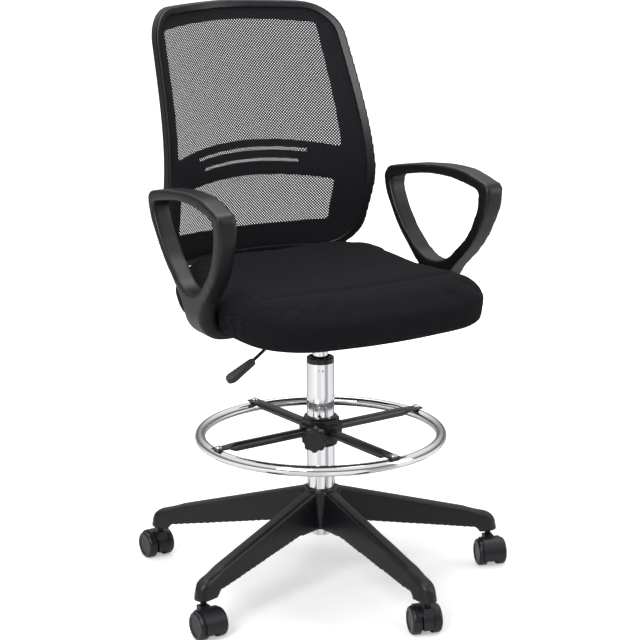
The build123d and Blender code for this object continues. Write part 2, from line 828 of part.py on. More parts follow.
with BuildPart() as footring_knob_stud:
    with BuildSketch(facing(knob_angle, sleeve_radius + face_gap, clamp_z)):
        Circle(knob_stud_diameter / 2)
    extrude(amount=knob_stand_off + 8 - sleeve_radius - face_gap)
save(footring_knob_stud.part, "footring_knob_stud")

# ----------------------------------------------------------------------------
# Seat plate with its taper socket, and the lift lever
# ----------------------------------------------------------------------------

plate_bolt_places = [
    (x, y, 0) for x in (-plate_bolt_x, plate_bolt_x) for y in (-plate_bolt_y, plate_bolt_y)
]
arm_mid_y = (arm_stem_front_y + arm_stem_rear_y) / 2
arm_bolt_places = [(sign * x, arm_mid_y, 0) for sign in (-1, 1) for x in arm_bolt_x]
bar_bolt_places = [(0, y, 0) for y in bar_bolt_y]
board_bolt_places = plate_bolt_places + arm_bolt_places + bar_bolt_places
bolt_hole = bolt_diameter / 2 + pin_gap
plate_bottom_z = plate_top_z - plate_thickness

with BuildPart() as seat_plate:
    with BuildSketch(Plane.XY.offset(plate_top_z)):
        RectangleRounded(plate_width, plate_depth, plate_corner)
    extrude(amount=-plate_thickness)
    with BuildSketch(Plane.XY.offset(plate_top_z)):
        for sign in (-1, 1):
            with Locations((sign * (plate_width - plate_thickness) / 2, 0)):
                Rectangle(plate_thickness, plate_depth - 2 * plate_corner)
    extrude(amount=-plate_flange)
    with BuildSketch(Plane.XY.offset(plate_bottom_z)):
        for sign in (-1, 1):
            with Locations((lever_pivot_x, sign * (pivot_ear_gap + pivot_ear_thickness / 2))):
                Rectangle(14, pivot_ear_thickness)
    extrude(amount=lever_z - plate_bottom_z - 8)
    with BuildSketch(Plane.XY.offset(plate_top_z)):
        with Locations(*plate_bolt_places, *bar_bolt_places):
            Circle(bolt_hole)
    extrude(amount=-plate_thickness, mode=Mode.SUBTRACT)
    with BuildSketch(Plane.XZ):
        with Locations((lever_pivot_x, lever_z)):
            Circle(pivot_pin_diameter / 2 + press_gap)
    extrude(amount=plate_width, both=True, mode=Mode.SUBTRACT)
save(seat_plate.part, "seat_plate")

socket_web_y = 26.0

with BuildPart() as taper_socket:
    with BuildSketch(Plane.XZ):
        Polygon(
            (cylinder_diameter / 2 + press_gap, socket_bottom_z),
            (cylinder_diameter / 2 + socket_wall, socket_bottom_z),
            (cylinder_diameter / 2 + socket_wall, socket_top_z),
            (cylinder_tip_diameter / 2 + press_gap + 0.1, socket_top_z),
            align=None,
        )
    revolve(axis=Axis.Z)
    # a folded bridge carries the socket below the plate
    with BuildSketch(Plane.XY.offset(socket_top_z)):
        Rectangle(42, 2 * socket_web_y)
        Circle(cylinder_diameter / 2 + 2, mode=Mode.SUBTRACT)
    extrude(amount=-plate_thickness)
    with BuildSketch(Plane.XY.offset(socket_top_z - plate_thickness)):
        for sign in (-1, 1):
            with Locations((0, sign * (socket_web_y - plate_thickness / 2))):
                Rectangle(42, plate_thickness)
    extrude(amount=plate_bottom_z - socket_top_z + plate_thickness)
save(taper_socket.part, "taper_socket")

lever_inner = (lever_inner_reach, lever_z)
lever_pivot = (lever_pivot_x, lever_z)

with BuildPart() as lift_lever:
    with BuildLine(Plane.XZ) as lever_path:
        FilletPolyline(lever_inner, (lever_pivot_x - 4, lever_z), lever_knee, lever_end, radius=[22, 30])
    with BuildSketch(Plane(lever_path.line @ 0, z_dir=lever_path.line % 0)):
        Circle(lever_diameter / 2)
    sweep(path=lever_path.line)
    with BuildSketch(Plane.XZ):
        with Locations(lever_pivot):
            Circle(pivot_pin_diameter / 2 + pin_gap)
    extrude(amount=lever_diameter, both=True, mode=Mode.SUBTRACT)
save(lift_lever.part, "lift_lever")

paddle_turn = math.radians(paddle_slope)
paddle_along = Vector(-math.cos(paddle_turn), 0, -math.sin(paddle_turn))
paddle_up = Vector(-math.sin(paddle_turn), 0, math.cos(paddle_turn))
lever_end_point = Vector(lever_end[0], 0, lever_end[1])
rod_end_plane = Plane(lever_end_point, z_dir=lever_path.line % 1)

with BuildPart() as lever_paddle:
    paddle_centre = lever_end_point + paddle_along * (paddle_length / 2 - paddle_overlap)
    with BuildSketch(Plane(paddle_centre, x_dir=paddle_along, z_dir=paddle_up)):
        with Locations((-(paddle_length - paddle_root_width) / 2, 0)):
            Circle(paddle_root_width / 2)
        with Locations(((paddle_length - paddle_width) / 2, 0)):
            Circle(paddle_width / 2)
        make_hull()
    extrude(amount=paddle_thickness / 2, both=True)
    fillet(lever_paddle.edges(), radius=3)
    with BuildSketch(rod_end_plane.offset(press_gap)):
        Circle(lever_diameter / 2 + press_gap)
    extrude(amount=-2 * paddle_overlap, mode=Mode.SUBTRACT)
save(lever_paddle.part, "lever_paddle")

with BuildPart() as lever_pivot_pin:
    with BuildSketch(Plane.XZ):
        with Locations(lever_pivot):
            Circle(pivot_pin_diameter / 2)
    extrude(amount=pivot_ear_gap + pivot_ear_thickness + 1.5, both=True)
save(lever_pivot_pin.part, "lever_pivot_pin")

# ----------------------------------------------------------------------------
# Seat: board, foam and fabric cover
# ----------------------------------------------------------------------------


def seat_plan(inset, height):
    """Plan of the seat: bowed front, narrower rear, round corners."""
    front = seat_front_width / 2
    rear = seat_rear_width / 2
    with BuildSketch(Plane.XY.offset(height)) as plan:
        with BuildLine():
            Line((front, seat_front_y + seat_front_bow), (rear, seat_rear_y))
            Line((rear, seat_rear_y), (-rear, seat_rear_y))
            Line((-rear, seat_rear_y), (-front, seat_front_y + seat_front_bow))
            ThreePointArc(
                (-front, seat_front_y + seat_front_bow),
                (0, seat_front_y),
                (front, seat_front_y + seat_front_bow),
            )
        make_face()
        fillet(plan.vertices(), radius=seat_corner_radius)
        offset(amount=-inset)
    return plan.sketch


board_plan = seat_plan(board_inset, seat_bottom_z)
pocket_plan = seat_plan(board_inset - soft_gap, seat_bottom_z)
cover_plan = seat_plan(0, seat_bottom_z)
cover_inner_plan = seat_plan(cover_thickness, seat_bottom_z + cover_thickness)
foam_inset = cover_thickness + soft_gap / 2
foam_plan = seat_plan(foam_inset, seat_bottom_z + foam_inset)
foam_height = seat_thickness - 2 * foam_inset

with BuildPart() as seat_board:
    extrude(board_plan, amount=board_thickness)
    with BuildSketch(Plane.XY.offset(seat_bottom_z)):
        with Locations(*board_bolt_places):
            Circle(bolt_diameter / 2 + 1 + press_gap)
    extrude(amount=board_thickness, mode=Mode.SUBTRACT)
    with BuildSketch(Plane.XY.offset(board_top_z)):
        with Locations(*board_bolt_places):
            Circle(nut_flange_diameter / 2 + press_gap)
    extrude(amount=-nut_flange_height, mode=Mode.SUBTRACT)
save(seat_board.part, "seat_board")

with BuildPart() as seat_foam:
    extrude(foam_plan, amount=foam_height)
    fillet(seat_foam.edges().group_by(Axis.Z)[-1], radius=seat_top_radius - foam_inset)
    fillet(seat_foam.edges().group_by(Axis.Z)[0], radius=seat_bottom_radius - foam_inset)
    extrude(pocket_plan, amount=board_thickness + soft_gap, mode=Mode.SUBTRACT)
save(seat_foam.part, "seat_foam")

with BuildPart() as cover_inside:
    extrude(cover_inner_plan, amount=seat_thickness - 2 * cover_thickness)
    fillet(cover_inside.edges().group_by(Axis.Z)[-1], radius=seat_top_radius - cover_thickness)
    fillet(cover_inside.edges().group_by(Axis.Z)[0], radius=seat_bottom_radius - cover_thickness)

with BuildPart() as seat_cover:
    extrude(cover_plan, amount=seat_thickness)
    fillet(seat_cover.edges().group_by(Axis.Z)[-1], radius=seat_top_radius)
    fillet(seat_cover.edges().group_by(Axis.Z)[0], radius=seat_bottom_radius)
    add(cover_inside.part, mode=Mode.SUBTRACT)
    extrude(pocket_plan, amount=board_thickness, mode=Mode.SUBTRACT)
save(seat_cover.part, "seat_cover")

with BuildPart() as seat_tee_nuts:
    with BuildSketch(Plane.XY.offset(board_top_z)):
        with Locations(*board_bolt_places):
            Circle(nut_flange_diameter / 2)
    extrude(amount=-nut_flange_height)
    with BuildSketch(Plane.XY.offset(board_top_z)):
        with Locations(*board_bolt_places):
            Circle(bolt_diameter / 2 + 1)
    extrude(amount=-board_thickness + 2)
    with BuildSketch(Plane.XY.offset(board_top_z)):
        with Locations(*board_bolt_places):
            Circle(bolt_diameter / 2 - 0.7)
    extrude(amount=-board_thickness, mode=Mode.SUBTRACT)
save(seat_tee_nuts.part, "seat_tee_nuts")


def hex_bolts(places, seat_z):
    """Bolts driven up into the seat board, their heads against seat_z."""
    with BuildPart() as bolts:
        with BuildSketch(Plane.XY.offset(seat_z)):
            with Locations(*places):
                Circle(bolt_head_diameter / 2)
        extrude(amount=-bolt_head_height)
        chamfer(bolts.edges().group_by(Axis.Z)[0], length=1)
        with BuildSketch(Plane.XY.offset(seat_z - bolt_head_height)):
            with Locations(*places):
                RegularPolygon(2.9, 6)
        extrude(amount=3, mode=Mode.SUBTRACT)
        with BuildSketch(Plane.XY.offset(seat_z)):
            with Locations(*places):
                Circle(bolt_diameter / 2 - 0.8)
        extrude(amount=board_top_z - 1 - seat_z)
    return bolts.part


arm_bottom_z = seat_bottom_z - arm_flange_thickness
bar_bottom_z = bar_z - bar_thickness / 2
save(hex_bolts(plate_bolt_places, plate_bottom_z - face_gap / 10), "seat_plate_bolts")
save(hex_bolts(arm_bolt_places, arm_bottom_z - face_gap / 10), "armrest_bolts")
save(hex_bolts(bar_bolt_places, bar_bottom_z - face_gap / 10), "back_bar_bolts")

# ----------------------------------------------------------------------------
# Armrests: a closed loop on a stem that turns in under the seat
# ----------------------------------------------------------------------------

arm_inner_x = seat_half_width(arm_stem_front_y) + arm_side_gap
arm_outer_x = arm_centre_x + arm_width / 2
arm_low_z = arm_bottom_z - 10

with BuildSketch(Plane.YZ) as arm_loop:
    with BuildLine():
        FilletPolyline(
            (arm_stem_front_y, arm_low_z),
            (arm_stem_front_y, 548),
            (-121, 618),
            (-151, 684),
            (-155, arm_top_z - 23.5),
            (-85, arm_top_z - 3),
            (-30, arm_top_z),
            (50, arm_top_z - 7),
            (144, arm_top_z - 22.5),
            (135, 682),
            (96, 623),
            (arm_stem_rear_y, 545),
            (arm_stem_rear_y, arm_low_z),
            radius=[0, 80, 200, 90, 20, 150, 350, 300, 22, 80, 200, 60, 0],
            close=True,
        )
    make_face()
    with BuildLine():
        FilletPolyline(
            (-16, 547),
            (-106, 633),
            (-127, 686),
            (-125, arm_top_z - 34),
            (-50, arm_top_z - 20.5),
            (20, arm_top_z - 20.5),
            (121, arm_top_z - 38.5),
            (117, 687),
            (101, 656),
            (72, 620),
            radius=[76, 100, 55, 14, 300, 400, 12, 40, 100, 120],
            close=True,
        )
    make_face(mode=Mode.SUBTRACT)

with BuildSketch(Plane.XZ) as arm_front:
    with BuildLine():
        FilletPolyline(
            (arm_outer_x, arm_top_z + 20),
            (arm_outer_x, 735),
            (arm_outer_x - arm_lean, 604),
            (arm_outer_x - 14, arm_bottom_z),
            (arm_stem_end_x, arm_bottom_z),
            (arm_stem_end_x, seat_bottom_z),
            (arm_inner_x, seat_bottom_z),
            (arm_outer_x - arm_width - arm_lean, 590),
            (arm_outer_x - arm_width, 735),
            (arm_outer_x - arm_width, arm_top_z + 20),
            radius=[0, 100, 80, arm_bend_radius, 0, 0, seat_bottom_radius, 60, 100, 0],
            close=True,
        )
    make_face()

arm_places = [(x, arm_mid_y, 0) for x in arm_bolt_x]

with BuildPart() as arm_slab:
    extrude(arm_front.sketch, amount=2 * arm_outer_x, both=True)

with BuildPart() as armrest_left:
    extrude(arm_loop.sketch, amount=2 * arm_outer_x)
    add(arm_slab.part, rotation=(0, 0, arm_splay), mode=Mode.INTERSECT)
    with BuildSketch(Plane.XY.offset(arm_bottom_z - 1)):
        with Locations(*arm_places):
            Circle(bolt_hole)
    extrude(amount=arm_flange_thickness + 2, mode=Mode.SUBTRACT)
save(armrest_left.part, "armrest_left")

with BuildPart() as armrest_right:
    mirror(armrest_left.part, about=Plane.YZ)
save(armrest_right.part, "armrest_right")

# ----------------------------------------------------------------------------
# Backrest: curved across and in profile, so each layer is one swept band
# ----------------------------------------------------------------------------

with BuildLine(Plane.YZ) as back_path:
    foot_line = Line(back_foot, back_knee)
    Spline((back_knee, *back_curve), tangents=(foot_line % 1, (0.29, 0.96)))

foot_direction = foot_line % 1
foot_plane = Plane(foot_line @ 0, x_dir=(1, 0, 0), z_dir=foot_direction)
rear_direction = foot_plane.y_dir
back_reach = 500.0


def back_layer(front, rear):
    """Layer of the backrest between two depths behind the face of the mesh."""
    with BuildPart() as layer:
        with BuildSketch(foot_plane):
            with Locations((0, -back_bend_radius)):
                Circle(back_bend_radius + rear)
                Circle(back_bend_radius + front, mode=Mode.SUBTRACT)
            Rectangle(2 * back_wide_half + 30, back_bend_radius * 0.8, mode=Mode.INTERSECT)
        sweep(path=back_path.line)
    return layer.part


def screw_plane(x, reach, depth):
    """Plane across a frame screw: up the foot line by reach, at a depth behind the mesh."""
    place = foot_line @ 0 + foot_direction * reach + rear_direction * depth
    return Plane(Vector(x, place.Y, place.Z), x_dir=(1, 0, 0), z_dir=rear_direction)


back_radii = [back_top_corner, 900, back_top_corner, 300, back_bottom_corner, back_bottom_corner, 300]


def back_outline(inset):
    """Outline of the backrest seen from the front."""
    with BuildSketch(Plane.XZ) as outline:
        with BuildLine():
            FilletPolyline(
                (-back_top_half, back_top_z - back_top_crown),
                (0, back_top_z),
                (back_top_half, back_top_z - back_top_crown),
                (back_wide_half, back_wide_z),
                (back_bottom_half, back_bottom_z),
                (-back_bottom_half, back_bottom_z),
                (-back_wide_half, back_wide_z),
                radius=back_radii,
                close=True,
            )
        make_face()
        offset(amount=-inset)
    return outline.sketch


def window(top_half, top_z, top_rise, bottom_half, bottom_z, bottom_rise):
    """Opening with arched top and bottom edges and rounded corners."""
    with BuildSketch(Plane.XZ) as opening:
        with BuildLine():
            Line((-bottom_half, bottom_z), (-top_half, top_z))
            ThreePointArc((-top_half, top_z), (0, top_z + top_rise), (top_half, top_z))
            Line((top_half, top_z), (bottom_half, bottom_z))
            ThreePointArc((bottom_half, bottom_z), (0, bottom_z + bottom_rise), (-bottom_half, bottom_z))
        make_face()
        fillet(opening.vertices(), radius=window_corner)
    return opening.sketch


whole_outline = back_outline(0)
rim_inner_outline = back_outline(rim_width)
lip_inner_outline = back_outline(rim_lip)
mesh_outline = back_outline(rim_lip + soft_gap)
wall_inner_outline = back_outline(frame_wall)

upper_window = window(
    window_top_half, window_top_z, window_top_arch, window_waist_half, lumbar_top_z, lumbar_top_arch
)
lower_window = window(
    window_lower_half,
    lumbar_bottom_z,
    lumbar_bottom_arch,
    window_bottom_half,
    window_bottom_z,
    -window_bottom_sag,
)

mesh_layer = back_layer(0, mesh_thickness)
rim_layer = back_layer(-rim_front, -soft_gap)
lip_layer = back_layer(-rim_front, mesh_thickness)
wall_layer = back_layer(mesh_thickness + soft_gap, frame_depth)
panel_layer = back_layer(panel_front, panel_rear)
tongue_layer = back_layer(tongue_front, panel_rear)

with BuildPart() as back_mesh:
    extrude(mesh_outline, amount=-back_reach)
    add(mesh_layer, mode=Mode.INTERSECT)
save(back_mesh.part, "back_mesh")

with BuildPart() as rim_face:
    extrude(whole_outline, amount=-back_reach)
    extrude(rim_inner_outline, amount=-back_reach, mode=Mode.SUBTRACT)
    add(rim_layer, mode=Mode.INTERSECT)

with BuildPart() as back_rim:
    extrude(whole_outline, amount=-back_reach)
    extrude(lip_inner_outline, amount=-back_reach, mode=Mode.SUBTRACT)
    add(lip_layer, mode=Mode.INTERSECT)
    add(rim_face.part)
save(back_rim.part, "back_rim")

with BuildPart() as frame_walls:
    extrude(whole_outline, amount=-back_reach)
    extrude(wall_inner_outline, amount=-back_reach, mode=Mode.SUBTRACT)
    add(wall_layer, mode=Mode.INTERSECT)
    # the bottom wall leaves room for the back bar
    with BuildSketch(Plane.XZ):
        with Locations((0, back_bottom_z)):
            Rectangle(bar_width + 2 * bar_side_gap, 4 * frame_wall)
    extrude(amount=-back_reach, mode=Mode.SUBTRACT)

with BuildPart() as frame_tongue:
    with BuildSketch(Plane.XZ):
        with Locations((0, (tongue_bottom_z + window_bottom_z) / 2)):
            RectangleRounded(2 * tongue_half, window_bottom_z - tongue_bottom_z - 2 * rim_width, 12)
    extrude(amount=-back_reach)
    add(tongue_layer, mode=Mode.INTERSECT)

with BuildPart() as back_frame:
    extrude(whole_outline, amount=-back_reach)
    extrude(upper_window, amount=-back_reach, mode=Mode.SUBTRACT)
    extrude(lower_window, amount=-back_reach, mode=Mode.SUBTRACT)
    for slit_z, slit_half in slits:
        rise = lumbar_top_arch * (slit_half / window_waist_half) ** 2
        with BuildSketch(Plane.XZ):
            with BuildLine(mode=Mode.PRIVATE) as slit_line:
                ThreePointArc((-slit_half, slit_z), (0, slit_z + rise), (slit_half, slit_z))
            SlotArc(slit_line.edge(), slit_height)
        extrude(amount=-back_reach, mode=Mode.SUBTRACT)
    add(panel_layer, mode=Mode.INTERSECT)
    add(frame_walls.part)
    add(frame_tongue.part)
    for x in (-bar_screw_x, bar_screw_x):
        for reach in bar_screw_reach:
            with BuildSketch(screw_plane(x, reach, panel_rear)):
                Circle(screw_hole)
            extrude(amount=-screw_in_frame - 0.5, mode=Mode.SUBTRACT)
save(back_frame.part, "back_frame")

# Flat steel bar from under the seat up to the back frame
bar_depth = panel_rear + face_gap + bar_thickness / 2
bar_top = foot_line @ 1 + rear_direction * bar_depth - foot_direction * bar_top_drop
bar_slope = foot_direction.Y / foot_direction.Z
bar_corner_y = bar_top.Y - bar_slope * (bar_top.Z - bar_z)

with BuildPart() as back_bar:
    with BuildLine(Plane.YZ) as bar_path:
        FilletPolyline(
            (bar_front_y, bar_z),
            (bar_corner_y, bar_z),
            (bar_top.Y, bar_top.Z),
            radius=bar_bend_radius,
        )
    with BuildSketch(Plane((0, bar_front_y, bar_z), x_dir=(1, 0, 0), z_dir=(0, 1, 0))):
        Rectangle(bar_width, bar_thickness)
    sweep(path=bar_path.line)
    with BuildSketch(Plane.XY.offset(bar_z - bar_thickness)):
        with Locations(*bar_bolt_places):
            Circle(bolt_hole)
    extrude(amount=2 * bar_thickness, mode=Mode.SUBTRACT)
    for x in (-bar_screw_x, bar_screw_x):
        for reach in bar_screw_reach:
            with BuildSketch(screw_plane(x, reach, panel_rear)):
                Circle(screw_hole)
            extrude(amount=2 * bar_thickness, mode=Mode.SUBTRACT)
save(back_bar.part, "back_bar")

with BuildPart() as back_frame_screws:
    for x in (-bar_screw_x, bar_screw_x):
        for reach in bar_screw_reach:
            head_plane = screw_plane(x, reach, panel_rear + bar_thickness + 1.1 * face_gap)
            with BuildSketch(head_plane):
                Circle(bolt_head_diameter / 2)
            extrude(amount=bolt_head_height - 1.5)
            with BuildSketch(head_plane):
                Circle(screw_diameter / 2)
            extrude(amount=-bar_thickness - face_gap - screw_in_frame)
save(back_frame_screws.part, "back_frame_screws")
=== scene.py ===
"""Looks of the drafting chair: finishes for the moulded, plated and woven pieces, the seat cushion and the mesh back.

Metres, in the model's own frame: the floor is z = 0, the sitter faces -Y and their left hand is on the +X side.
"""

import math

import bpy
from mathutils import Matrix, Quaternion, Vector
from mathutils.bvhtree import BVHTree


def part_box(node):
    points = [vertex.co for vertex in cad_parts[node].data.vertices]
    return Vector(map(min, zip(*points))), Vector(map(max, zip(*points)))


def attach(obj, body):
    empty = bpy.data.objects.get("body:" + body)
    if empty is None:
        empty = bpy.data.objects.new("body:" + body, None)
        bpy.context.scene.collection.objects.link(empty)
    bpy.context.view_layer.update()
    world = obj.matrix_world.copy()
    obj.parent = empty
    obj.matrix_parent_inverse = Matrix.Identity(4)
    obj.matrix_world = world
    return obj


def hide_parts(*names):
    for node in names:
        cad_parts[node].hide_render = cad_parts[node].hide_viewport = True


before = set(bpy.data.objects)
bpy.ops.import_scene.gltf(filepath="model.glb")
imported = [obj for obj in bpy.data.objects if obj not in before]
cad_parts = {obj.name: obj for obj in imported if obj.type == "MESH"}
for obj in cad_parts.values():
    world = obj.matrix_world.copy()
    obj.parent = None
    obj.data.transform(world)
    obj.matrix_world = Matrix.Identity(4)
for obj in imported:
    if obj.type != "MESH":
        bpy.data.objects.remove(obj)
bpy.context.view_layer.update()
scene = bpy.context.scene

# ----------------------------------------------------------------------------
# Shader arithmetic
# ----------------------------------------------------------------------------

# the colour sockets of a Mix node, which share their names with its other sockets
MIX_SHARE, MIX_FIRST, MIX_SECOND, MIX_RESULT = 0, 6, 7, 2
X, Y, Z = 0, 1, 2
# the cosine of 45 degrees, to turn a pattern onto the diagonal
DIAGONAL = 0.7071


class Amount:
    """A number that changes over a surface. Arithmetic on it becomes Math nodes."""

    def __init__(self, finish, socket):
        self.finish = finish
        self.socket = socket

    def maths(self, operation, *terms):
        sockets = {place: term for place, term in enumerate(terms)}
        return self.finish.node("ShaderNodeMath", {"operation": operation}, sockets)

    def __add__(self, other):
        return self.maths("ADD", self, other)

    def __sub__(self, other):
        return self.maths("SUBTRACT", self, other)

    def __rsub__(self, other):
        return self.maths("SUBTRACT", other, self)

    def __mul__(self, other):
        return self.maths("MULTIPLY", self, other)

    def __pow__(self, other):
        return self.maths("POWER", self, other)

    __radd__ = __add__
    __rmul__ = __mul__

    def sine(self):
        return self.maths("SINE", self)

    def cosine(self):
        return self.maths("COSINE", self)

    def arctangent(self, other):
        """The angle, in radians, whose tangent is this amount over the other."""
        return self.maths("ARCTAN2", self, other)

    def larger(self, other):
        return self.maths("MAXIMUM", self, other)

    def between(self, low, high):
        """0 below low, 1 above high and a smooth ramp between them."""
        settings = {"interpolation_type": "SMOOTHSTEP"}
        return self.finish.node("ShaderNodeMapRange", settings, {"Value": self, "From Min": low, "From Max": high})


class Nodes:
    """A node tree that is filled node by node."""

    def __init__(self, tree):
        self.tree = tree

    def join(self, value, socket):
        """Set a socket to a number or colour, or link it."""
        if isinstance(value, Amount):
            self.tree.links.new(value.socket, socket)
        elif socket.type == "RGBA" and len(value) == 3:
            socket.default_value = (*value, 1)
        else:
            socket.default_value = value

    def node(self, kind, settings=None, sockets=None, output=0):
        """Add a node: its settings first, then its sockets, and give back one output."""
        made = self.tree.nodes.new(kind)
        for key, value in (settings or {}).items():
            setattr(made, key, value)
        for key, value in (sockets or {}).items():
            self.join(value, made.inputs[key])
        return Amount(self, made.outputs[output])

    def place(self, output="Object"):
        """Where a point lies on the object, in metres, or another of its coordinates."""
        return self.node("ShaderNodeTexCoord", output=output)

    def along(self, vector, axis):
        """One coordinate of a vector."""
        return self.node("ShaderNodeSeparateXYZ", {}, {"Vector": vector}, axis)

    def ray(self, kind):
        """1 for one kind of ray and 0 for the others."""
        return self.node("ShaderNodeLightPath", output=f"Is {kind} Ray")

    def cloud(self, vector, scale, detail=2.0, rough=0.5):
        """Soft random variation, from 0 to 1."""
        sockets = {"Vector": vector, "Scale": scale, "Detail": detail, "Roughness": rough}
        return self.node("ShaderNodeTexNoise", {"noise_dimensions": "3D"}, sockets)

    def pebbles(self, vector, scale):
        """Small cells, as in moulded grain: 0 at a cell's middle."""
        return self.node("ShaderNodeTexVoronoi", {"feature": "F1"}, {"Vector": vector, "Scale": scale})

    def tint(self, share, first, second):
        """Colour that goes from the first to the second."""
        sockets = {MIX_SHARE: share, MIX_FIRST: first, MIX_SECOND: second}
        return self.node("ShaderNodeMix", {"data_type": "RGBA"}, sockets, MIX_RESULT)


class Finish(Nodes):
    """One material with one shader."""

    def __init__(self, name):
        self.material = bpy.data.materials.new(name)
        self.material.use_nodes = True
        super().__init__(self.material.node_tree)
        self.tree.nodes.clear()
        output = self.tree.nodes.new("ShaderNodeOutputMaterial")
        self.shader = self.tree.nodes.new("ShaderNodeBsdfPrincipled")
        self.tree.links.new(self.shader.outputs[0], output.inputs["Surface"])

    def relief(self, height, depth, strength, edge=0.0):
        """Surface relief of a height that goes from 0 to 1; edge rounds the corners by a radius."""
        sockets = {"Height": height, "Distance": depth, "Strength": strength}
        if edge:
            sockets["Normal"] = self.node("ShaderNodeBevel", {"samples": 4}, {"Radius": edge})
        return self.node("ShaderNodeBump", {}, sockets)

    def surface(self, **sockets):
        """Set the shader's sockets, named with underscores for spaces."""
        for key, value in sockets.items():
            self.join(value, self.shader.inputs[key.replace("_", " ")])
        return self.material


# ----------------------------------------------------------------------------
# Finishes
# ----------------------------------------------------------------------------


def moulded(name, colour, roughness, grain, depth, edge, lift):
    """Moulded plastic: fine grain, slightly uneven gloss and faint paler patches."""
    f = Finish(name)
    where = f.place()
    patches = f.cloud(where, 9.0, 3.0)
    grains = f.pebbles(where, grain)
    speck = f.cloud(where, 420.0, 2.0)
    pale = tuple(c + lift for c in colour)
    return f.surface(
        Base_Color=f.tint(patches * 0.6 + speck * 0.4, colour, pale),
        Roughness=patches * 0.10 + (roughness - 0.05) + speck * 0.04,
        Specular_IOR_Level=0.35,
        Normal=f.relief(grains + speck * 0.5, depth, 0.55, edge),
    )


def plated(name, colour, roughness, edge=0.0006):
    """Polished plate with faint haze and hairlines."""
    f = Finish(name)
    where = f.place()
    haze = f.cloud(where, 14.0, 4.0, 0.6)
    hairlines = f.cloud(where, 900.0, 1.0)
    return f.surface(
        Base_Color=f.tint(haze, colour, tuple(c * 0.93 for c in colour)),
        Metallic=1.0,
        Roughness=haze * 0.05 + hairlines * 0.02 + roughness,
        Normal=f.relief(hairlines, 0.000004, 0.3, edge),
    )


def ribbed_grip(name):
    """Grip plastic, finely ribbed on its upper face, with painted top light: faces that point up, and most of all
    their rib crests, are painted paler.
    """
    f = Finish(name)
    where = f.place()
    # painted top light: upper marks faces that point up; these are painted grey, palest on the rib crests, and also
    # carry the ribs
    upper = f.along(f.place("Normal"), Z).between(0.2, 0.7)
    rib_pitch = 0.0052
    ribs = (f.along(where, X) * (2 * math.pi / rib_pitch)).sine().between(-0.2, 0.5)
    grains = f.cloud(where, 900.0, 2.0)
    return f.surface(
        Base_Color=f.tint(upper * (ribs * 0.7 + 0.3), (0.005, 0.005, 0.006), (0.11, 0.11, 0.12)),
        Roughness=grains * 0.1 + 0.34,
        Normal=f.relief(upper * ribs + grains * 0.1, 0.0006, 0.6, 0.0008),
    )


def powder_coated(name, colour, roughness):
    """Powder coat with its fine orange-peel skin."""
    f = Finish(name)
    where = f.place()
    peel = f.cloud(where, 380.0, 2.0)
    patches = f.cloud(where, 12.0, 2.0)
    return f.surface(
        Base_Color=f.tint(patches, colour, tuple(c + 0.004 for c in colour)),
        Roughness=peel * 0.12 + (roughness - 0.06),
        Normal=f.relief(peel, 0.00008, 0.5, 0.0006),
    )


def seat_cloth(name):
    """Knitted spacer cloth: small raised cells in offset rows, with a soft nap, and painted shade: the hollows between
    the cells are painted near black.
    """
    f = Finish(name)
    where = f.place()
    across = f.along(where, X)
    along = f.along(where, Y)
    up = f.along(where, Z)
    cell_pitch = 0.0031
    turn = 2 * math.pi / cell_pitch
    first = ((across + along + up * 0.7) * turn * DIAGONAL).sine()
    second = ((across - along - up * 0.7) * turn * DIAGONAL).sine()
    cells = (first * second).between(-0.6, 0.75)
    fuzz = f.cloud(where, 1500.0, 2.0)
    patches = f.cloud(where, 7.0, 3.0)
    # painted shade: the hollows between the raised cells get a near-black colour, the cell faces a paler one
    painted_hollow_shade = (0.0008, 0.0008, 0.0012)
    face = (0.0085, 0.0085, 0.0115)
    return f.surface(
        Base_Color=f.tint(cells * 0.7 + fuzz * 0.2 + patches * 0.1, painted_hollow_shade, face),
        Roughness=0.96 - cells * 0.10,
        Specular_IOR_Level=0.15,
        Normal=f.relief(cells + fuzz * 0.25, 0.0005, 0.55),
    )


def open_knit(name):
    """Stretched open knit: diagonal strands round small eyelets that let light through."""
    f = Finish(name)
    flat = f.node("ShaderNodeUVMap", {"uv_map": "cloth"})
    across = f.along(flat, X)
    along = f.along(flat, Y)
    row_pitch = 0.00393
    turn = math.pi / row_pitch
    first = ((across + along) * turn * DIAGONAL).sine()
    second = ((across - along) * turn * DIAGONAL).sine()
    knit = first * second
    eyelet = (first * first) * (second * second)
    strand = 1 - eyelet.between(0.49, 0.61)
    fuzz = f.cloud(f.place(), 1400.0, 2.0)
    return f.surface(
        Base_Color=f.tint(fuzz * 0.6 + knit * 0.2, (0.003, 0.003, 0.005), (0.010, 0.010, 0.015)),
        Roughness=0.78 + fuzz * 0.15,
        Specular_IOR_Level=0.3,
        Alpha=strand,
        Normal=f.relief(1 - eyelet, 0.0004, 0.6),
    )


def plywood(name):
    """Dark stained plywood: long grain on the faces and thin plies on the edge."""
    f = Finish(name)
    where = f.place()
    along = f.along(where, Y)
    up = f.along(where, Z)
    ply_pitch = 0.0024
    plies = (up * (2 * math.pi / ply_pitch)).sine().between(-0.2, 0.2)
    grain = f.cloud(where, 60.0, 6.0, 0.7)
    streaks = ((grain * 9.0 + along * 40.0).sine() + 1) * 0.5
    return f.surface(
        Base_Color=f.tint(streaks * 0.5 + plies * 0.4, (0.05, 0.034, 0.020), (0.10, 0.070, 0.042)),
        Roughness=0.65 + grain * 0.2,
        Normal=f.relief(streaks, 0.0001, 0.4),
    )


def cut_foam(name):
    """Moulded foam: a skin full of tiny open cells, with painted shade: the middle of each cell, low in the relief, is
    painted darker.
    """
    f = Finish(name)
    where = f.place()
    cells = f.pebbles(where, 700.0)
    patches = f.cloud(where, 20.0, 3.0)
    return f.surface(
        Base_Color=f.tint(cells + patches * 0.3, (0.50, 0.46, 0.32), (0.74, 0.70, 0.55)),
        Roughness=0.9 + patches * 0.08,
        Normal=f.relief(cells, 0.0004, 0.7),
    )


